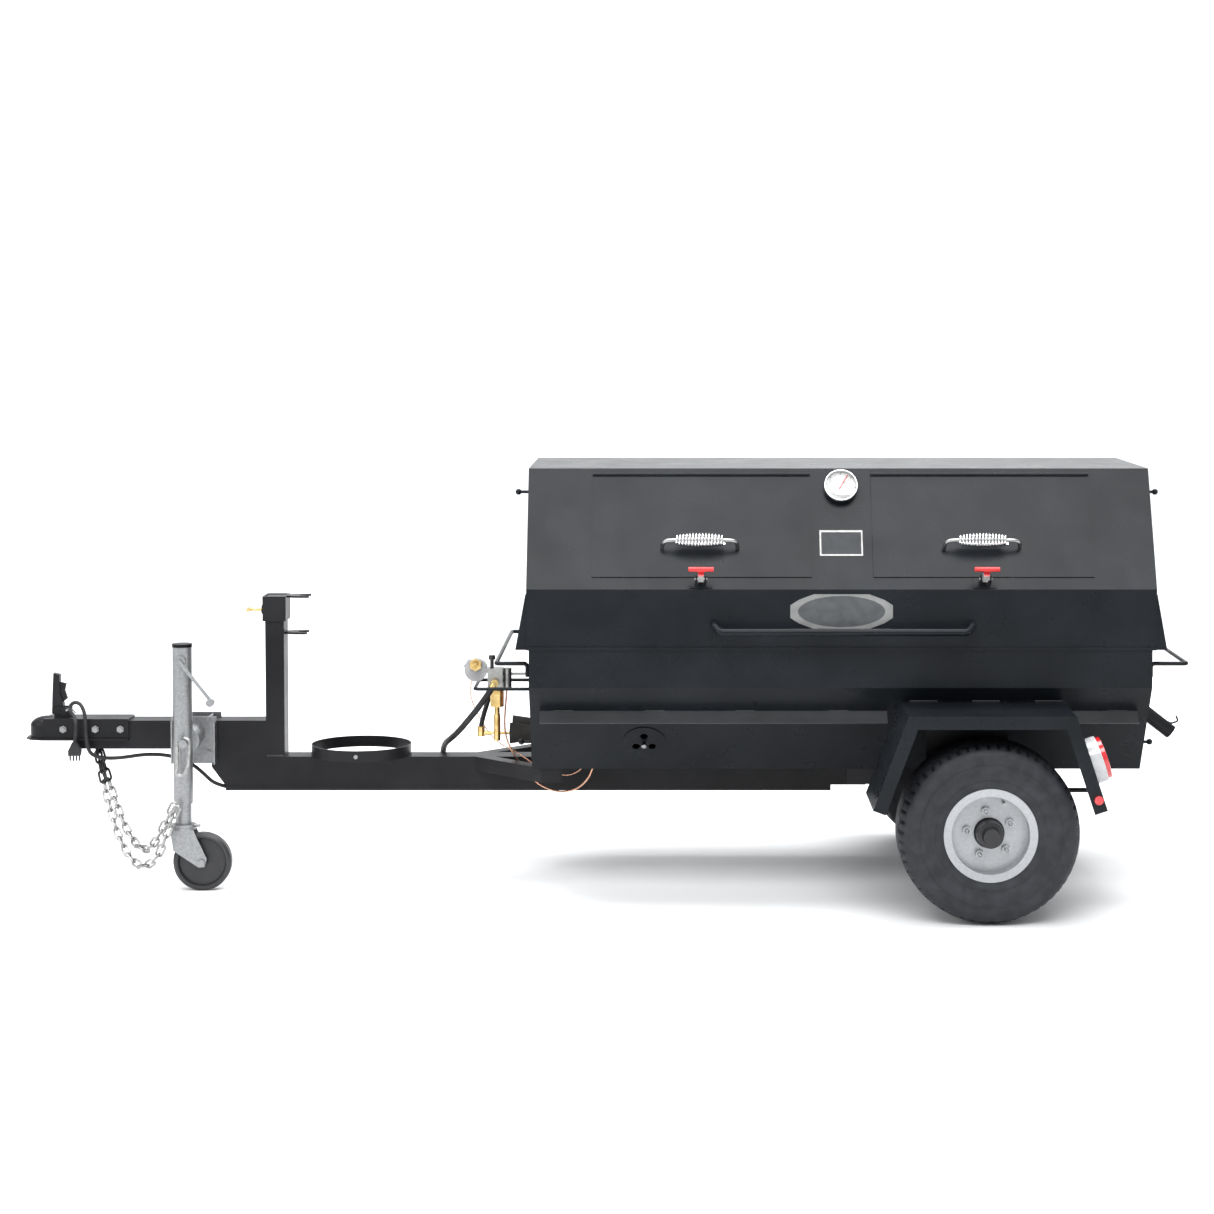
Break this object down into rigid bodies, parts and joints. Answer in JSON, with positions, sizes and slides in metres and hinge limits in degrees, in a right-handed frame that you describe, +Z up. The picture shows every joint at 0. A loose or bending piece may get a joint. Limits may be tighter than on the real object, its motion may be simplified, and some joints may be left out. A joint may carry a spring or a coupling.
{
  "type": "gas barbecue trailer",
  "caption": "Towable gas barbecue trailer: six-sided cooker with hinged hood and two doors, single axle, coupler, swivel jack and bottle ring.",
  "frame": {"origin": "on the ground under the middle of the overall length", "axes": "+X towards the rear, +Y away from the door side, +Z up"},
  "size_m": [3.0956, 1.276, 1.12],
  "materials": {
    "black_paint": "satin",
    "frame_paint": "semi-gloss",
    "zinc": "galvanised",
    "chain_zinc": "galvanised",
    "chrome": "polished",
    "rim_silver": "silver paint",
    "tyre": "matte",
    "rubber": "matte",
    "brass": "machined",
    "copper": "bright copper tube",
    "red_vinyl": "dipped",
    "red_lens": "clear red",
    "clear_plastic": "clear grey",
    "black_plastic": "matte",
    "steel": "bare",
    "plate_metal": "etched",
    "cast_iron": "seasoned"
  },
  "bodies": {
    "trailer": {"axle": "frame_paint", "box_ends": "black_paint", "box_hinges": "black_paint", "box_strips": "black_paint", "box_trough": "black_paint", "brass_fittings": "brass", "burners": "cast_iron", "cooking_grates": "cast_iron", "coupler_body": "frame_paint", "cross_members": "frame_paint", "drip_pan": "steel", "end_bars": "black_paint", "fenders": "black_paint", "frame_fasteners": "zinc", "gas_hose_long": "rubber", "gas_hose_short": "rubber", "gas_regulator": "zinc", "grease_spout": "frame_paint", "jack_bracket": "zinc", "light_lenses": "red_lens", "pilot_tubes": "copper", "safety_chains": "chain_zinc", "safety_valve": "brass", "tail_light_bodies": "clear_plastic", "tank_post": "frame_paint", "tank_ring": "frame_paint", "tongue_frame": "frame_paint", "trailer_cable": "rubber", "trailer_plug": "rubber"},
    "hood": {"hood_shell": "black_paint", "hood_ends": "black_paint", "lift_handle": "black_paint", "thermometer_case": "chrome", "plates": "plate_metal", "hood_hardware": "black_paint"},
    "needle": {"thermometer_pointer": "red_vinyl"},
    "front_door": {"door_front": "black_paint", "door_front_handle": "steel"},
    "rear_door": {"door_rear": "black_paint", "door_rear_handle": "steel"},
    "front_latch": {"latch_front": "red_vinyl"},
    "rear_latch": {"latch_rear": "red_vinyl"},
    "left_wheel": {"wheel_left_tyre": "tyre", "wheel_left_rim": "rim_silver"},
    "right_wheel": {"wheel_right_tyre": "tyre", "wheel_right_rim": "rim_silver"},
    "jack": {"jack_tube": "zinc"},
    "crank": {"jack_crank": "zinc"},
    "leg": {"jack_leg": "zinc"},
    "fork": {"caster_fork": "zinc"},
    "caster": {"caster_wheel": "black_plastic"},
    "lever": {"coupler_lever": "frame_paint"},
    "clamp": {"tank_clamp": "frame_paint"},
    "screw": {"clamp_screw": "brass"},
    "hood_front_damper": {"damper_hood_front": "black_paint"},
    "hood_rear_damper": {"damper_hood_rear": "black_paint"},
    "box_front_damper": {"damper_box_front": "black_paint"},
    "box_rear_damper": {"damper_box_rear": "black_paint"},
    "slope_damper": {"damper_slope": "black_paint"},
    "button": {"valve_button": "red_vinyl"}
  },
  "joints": [
    {"name": "hood_hinge", "type": "hinge", "parent": "trailer", "child": "hood", "pos_m": [0.6, 0.415, 0.662], "axis": [-1, 0, 0], "range_deg": [0, 100]},
    {"name": "thermometer_needle", "type": "hinge", "parent": "hood", "child": "needle", "pos_m": [0.618, -0.29632, 1.07653], "axis": [0, -0.8974, 0.4412], "range_deg": [-190, 70]},
    {"name": "front_door_hinge", "type": "hinge", "parent": "hood", "child": "front_door", "pos_m": [0.2595, -0.26932, 1.10538], "axis": [-1, 0, 0], "range_deg": [0, 160]},
    {"name": "rear_door_hinge", "type": "hinge", "parent": "hood", "child": "rear_door", "pos_m": [0.9765, -0.26932, 1.10538], "axis": [-1, 0, 0], "range_deg": [0, 160]},
    {"name": "front_latch_pivot", "type": "hinge", "parent": "hood", "child": "front_latch", "pos_m": [0.257, -0.42234, 0.84966], "axis": [1, 0, 0], "range_deg": [0, 100]},
    {"name": "rear_latch_pivot", "type": "hinge", "parent": "hood", "child": "rear_latch", "pos_m": [0.977, -0.42234, 0.84966], "axis": [1, 0, 0], "range_deg": [0, 100]},
    {"name": "left_wheel_spin", "type": "hinge", "parent": "trailer", "child": "left_wheel", "pos_m": [0.974, -0.505, 0.2275], "axis": [0, 1, 0], "continuous": true},
    {"name": "right_wheel_spin", "type": "hinge", "parent": "trailer", "child": "right_wheel", "pos_m": [0.974, 0.505, 0.2275], "axis": [0, 1, 0], "continuous": true},
    {"name": "jack_swing", "type": "hinge", "parent": "trailer", "child": "jack", "pos_m": [-1.095, -0.157, 0.396], "axis": [0, -1, 0], "range_deg": [0, 90]},
    {"name": "jack_lift", "type": "slide", "parent": "jack", "child": "leg", "axis": [0, 0, 1], "range_m": [-0.2, 0.05]},
    {"name": "jack_crank_turn", "type": "hinge", "parent": "jack", "child": "crank", "pos_m": [-1.104, -0.2, 0.61], "axis": [0, 1, 0], "range_deg": [-14400, 3600]},
    {"name": "caster_swivel", "type": "hinge", "parent": "leg", "child": "fork", "pos_m": [-1.104, -0.157, 0.16], "axis": [0, 0, 1], "continuous": true, "deforming": ["safety_chains"]},
    {"name": "caster_spin", "type": "hinge", "parent": "fork", "child": "caster", "pos_m": [-1.054, -0.157, 0.0765], "axis": [0, 1, 0], "continuous": true},
    {"name": "coupler_lever_pivot", "type": "hinge", "parent": "trailer", "child": "lever", "pos_m": [-1.462, 0, 0.452], "axis": [0, 1, 0], "range_deg": [0, 75]},
    {"name": "clamp_slide", "type": "slide", "parent": "trailer", "child": "clamp", "axis": [0, 0, 1], "range_m": [0, 0.05]},
    {"name": "clamp_screw_turn", "type": "hinge", "parent": "clamp", "child": "screw", "pos_m": [-0.93, 0, 0.726], "axis": [1, 0, 0], "range_deg": [0, 360]},
    {"name": "hood_front_damper_turn", "type": "hinge", "parent": "hood", "child": "hood_front_damper", "pos_m": [-0.186, -0.19, 1.055], "axis": [-1, 0, 0], "range_deg": [0, 90]},
    {"name": "hood_rear_damper_turn", "type": "hinge", "parent": "hood", "child": "hood_rear_damper", "pos_m": [1.414, -0.19, 1.055], "axis": [1, 0, 0], "range_deg": [0, 90]},
    {"name": "box_front_damper_turn", "type": "hinge", "parent": "trailer", "child": "box_front_damper", "pos_m": [-0.18, -0.2, 0.4], "axis": [-1, 0, 0], "range_deg": [0, 90]},
    {"name": "box_rear_damper_turn", "type": "hinge", "parent": "trailer", "child": "box_rear_damper", "pos_m": [1.404, -0.2, 0.4], "axis": [1, 0, 0], "range_deg": [0, 90]},
    {"name": "slope_damper_turn", "type": "hinge", "parent": "trailer", "child": "slope_damper", "pos_m": [0.112, -0.28852, 0.412], "axis": [0, -0.8098, -0.5867], "range_deg": [0, 90]},
    {"name": "button_press", "type": "slide", "parent": "trailer", "child": "button", "axis": [0, 0, -1], "range_m": [0, 0.004], "stiffness_N_per_m": 500}
  ],
  "couplings": [
    {"joint": "jack_lift", "follows": "jack_crank_turn", "m_per_rad": 0.00079577}
  ]
}
